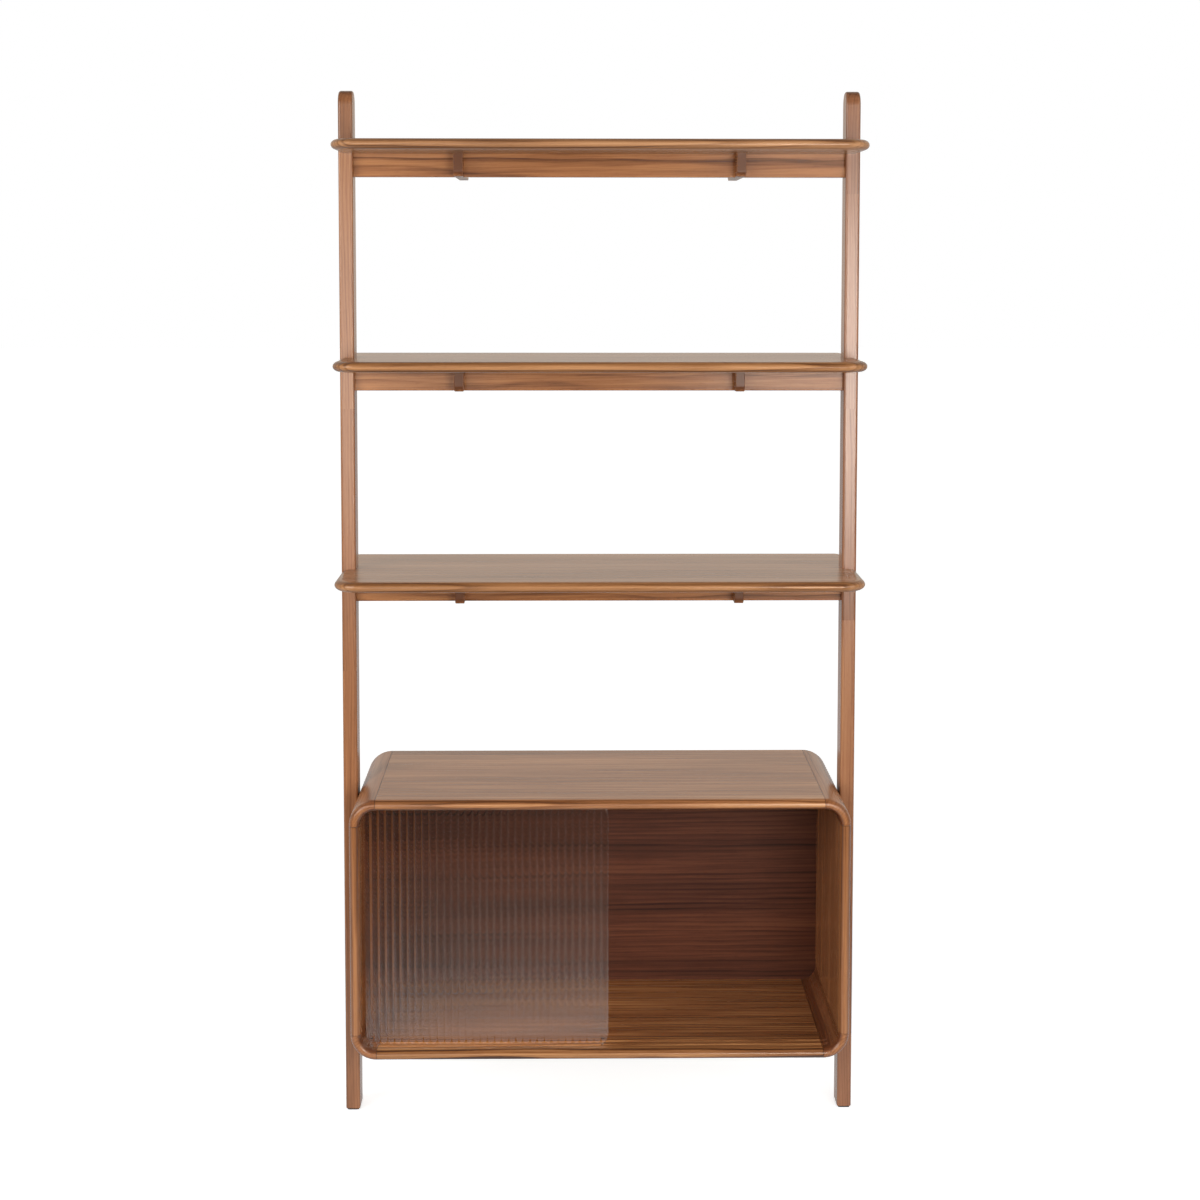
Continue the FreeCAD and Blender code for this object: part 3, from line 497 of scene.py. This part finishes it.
def pale_floor():
    """Pale seamless paper on a grey studio floor. It shows white, and keeps the bookcase's soft shadow."""
    material, tree, output = new_material("pale_seamless_paper_floor")
    place = add(tree, "ShaderNodeTexCoord").outputs["Object"]
    depth = add(tree, "ShaderNodeSeparateXYZ", {"Vector": place}).outputs["Y"]
    ahead = add(tree, "ShaderNodeMapRange", {
        "Value": depth, "From Min": PAPER_FADE[0], "From Max": PAPER_FADE[1]})
    tone = add(tree, "ShaderNodeValToRGB", {
        "stops": [(share, linear(shade)) for share, shade in PAPER_TONES], "Fac": ahead.outputs["Result"]})
    paper = add(tree, "ShaderNodeBsdfDiffuse", {"Color": tone.outputs["Color"]})
    near = add(tree, "ShaderNodeMapRange", {
        "interpolation_type": "SMOOTHSTEP", "Value": depth,
        "From Min": MIRROR_FADE[0], "From Max": MIRROR_FADE[1], "To Min": 0.0, "To Max": MIRROR_GLOW})
    mirrored = add(tree, "ShaderNodeMath", {
        "operation": "MULTIPLY", 0: near.outputs["Result"],
        1: add(tree, "ShaderNodeLightPath").outputs["Is Glossy Ray"]})
    whiten = add(tree, "ShaderNodeMapRange", {
        "interpolation_type": "SMOOTHSTEP", "Value": depth,
        "From Min": FAR_FADE[0], "From Max": FAR_FADE[1], "To Min": PAPER_GLOW[0], "To Max": PAPER_GLOW[1]})
    greyer = add(tree, "ShaderNodeMath", {
        "operation": "MULTIPLY_ADD", 0: ahead.outputs["Result"], 1: -FRONT_GLOW, 2: FRONT_GLOW})
    white = add(tree, "ShaderNodeMath", {
        "operation": "ADD", 0: whiten.outputs["Result"], 1: greyer.outputs[0]})
    lift = add(tree, "ShaderNodeMath", {
        "operation": "MULTIPLY_ADD", 0: seen_directly(tree), 1: white.outputs[0], 2: mirrored.outputs[0]})
    glow = add(tree, "ShaderNodeEmission", {"Color": WHITE, "Strength": lift.outputs[0]})
    both = add(tree, "ShaderNodeAddShader", {0: paper.outputs["BSDF"], 1: glow.outputs["Emission"]})
    tree.links.new(both.outputs["Shader"], output.inputs["Surface"])
    return material


def lay_floor():
    """One large sheet under everything."""
    data = bpy.data.meshes.new("studio_floor")
    corners = [(x * FLOOR_REACH, y * FLOOR_REACH, 0) for x, y in ((-1, -1), (1, -1), (1, 1), (-1, 1))]
    data.from_pydata(corners, [], [(0, 1, 2, 3)])
    data.materials.append(pale_floor())
    floor = bpy.data.objects.new("studio_floor", data)
    floor.location.z = -FLOOR_SINK
    scene.collection.objects.link(floor)
    return floor


lay_floor()


def studio_room():
    """A dim room whose far wall, behind the bookcase, is a bright warm white, and shows pure white."""
    room = bpy.data.worlds.new("studio_room")
    room.use_nodes = True
    tree = room.node_tree
    tree.nodes.clear()
    towards = add(tree, "ShaderNodeTexCoord").outputs["Generated"]
    direction = add(tree, "ShaderNodeSeparateXYZ", {"Vector": towards}).outputs
    far_wall = add(tree, "ShaderNodeMapRange", {
        "interpolation_type": "SMOOTHSTEP", "Value": direction["Y"],
        "From Min": WALL_EDGE[0], "From Max": WALL_EDGE[1]})
    wall_height = add(tree, "ShaderNodeMapRange", {
        "interpolation_type": "SMOOTHSTEP", "Value": direction["Z"],
        "From Min": WALL_TOP[0], "From Max": WALL_TOP[1]})
    ceiling = add(tree, "ShaderNodeMapRange", {
        "interpolation_type": "SMOOTHSTEP", "Value": direction["Z"],
        "From Min": CEILING_EDGE[0], "From Max": CEILING_EDGE[1],
        "To Min": ROOM_GLOW[0], "To Max": ROOM_GLOW[1]})
    wall = add(tree, "ShaderNodeMath", {
        "operation": "MULTIPLY", 0: far_wall.outputs["Result"], 1: wall_height.outputs["Result"]})
    bright = add(tree, "ShaderNodeMath", {
        "operation": "MULTIPLY_ADD", 0: wall.outputs[0], 1: WALL_GLOW, 2: ceiling.outputs["Result"]})
    dim = add(tree, "ShaderNodeBackground", {"Color": ROOM_TINT, "Strength": bright.outputs[0]})
    white = add(tree, "ShaderNodeBackground", {"Color": WHITE, "Strength": 1.0})
    mix = add(tree, "ShaderNodeMixShader", {
        "Fac": seen_directly(tree), 1: dim.outputs["Background"], 2: white.outputs["Background"]})
    add(tree, "ShaderNodeOutputWorld", {"Surface": mix.outputs["Shader"]})
    return room


scene.world = studio_room()


def softbox(name, place, aim, size, power):
    """A soft rectangular lamp at place, turned to aim."""
    lamp = bpy.data.lights.new(name, "AREA")
    lamp.shape = "RECTANGLE"
    lamp.size, lamp.size_y = size
    lamp.energy = power
    lamp.color = LAMP_TINT
    holder = bpy.data.objects.new(name, lamp)
    holder.location = place
    holder.rotation_euler = (Vector(aim) - Vector(place)).to_track_quat("-Z", "Y").to_euler()
    scene.collection.objects.link(holder)


softbox("softbox_right", place=(0.94, -3.0, 1.13), aim=(0.3, 0, 1.1), size=(1.05, 1.10), power=39)
softbox("softbox_far_right", place=(2.6, -2.3, 1.9), aim=(0.2, 0, 1.1), size=(2.2, 1.8), power=32)
softbox("softbox_left", place=(-0.88, -3.0, 1.13), aim=(-0.3, 0, 1.1), size=(1.05, 1.10), power=15)
softbox("softbox_far_left", place=(-2.6, -2.3, 1.9), aim=(-0.2, 0, 1.1), size=(2.2, 1.8), power=64)
softbox("softbox_overhead", place=(0.1, -4.6, 2.7), aim=(0, 0, 0.9), size=(3.0, 1.3), power=10)


# ---------------------------------------------------------------- camera
CAMERA_PLACE = (-0.04884, -3.61133, 1.51794)
FRAME_PX = 1200
FOCAL_LENGTH_PX = 2070.27
MIDDLE_PX = 409.24           # row of the frame, from its top, that the lens's axis meets
SENSOR_WIDTH = 36.0
PITCH = math.radians(4.264)
YAW = math.radians(0.794)
ROLL = math.radians(0.045)
NEAR_CLIP, FAR_CLIP = 0.05, 200


def studio_camera():
    """Camera with a shifted lens, pointed slightly down: the posts stay nearly parallel in the frame."""
    data = bpy.data.cameras.new("studio_camera")
    data.sensor_width = SENSOR_WIDTH
    data.lens = FOCAL_LENGTH_PX * SENSOR_WIDTH / FRAME_PX
    data.shift_y = (MIDDLE_PX - FRAME_PX / 2) / FRAME_PX
    data.clip_start, data.clip_end = NEAR_CLIP, FAR_CLIP
    camera = bpy.data.objects.new("studio_camera", data)
    forward = Vector((math.sin(YAW) * math.cos(PITCH), math.cos(YAW) * math.cos(PITCH), -math.sin(PITCH)))
    right = Vector((math.cos(YAW), -math.sin(YAW), 0))
    upward = right.cross(forward)
    level_right = math.cos(ROLL) * right + math.sin(ROLL) * upward
    level_up = -math.sin(ROLL) * right + math.cos(ROLL) * upward
    turn = Matrix((level_right, level_up, -forward)).transposed()
    camera.matrix_world = Matrix.Translation(CAMERA_PLACE) @ turn.to_4x4()
    scene.collection.objects.link(camera)
    return camera


scene.camera = studio_camera()
scene.view_settings.view_transform = "Standard"
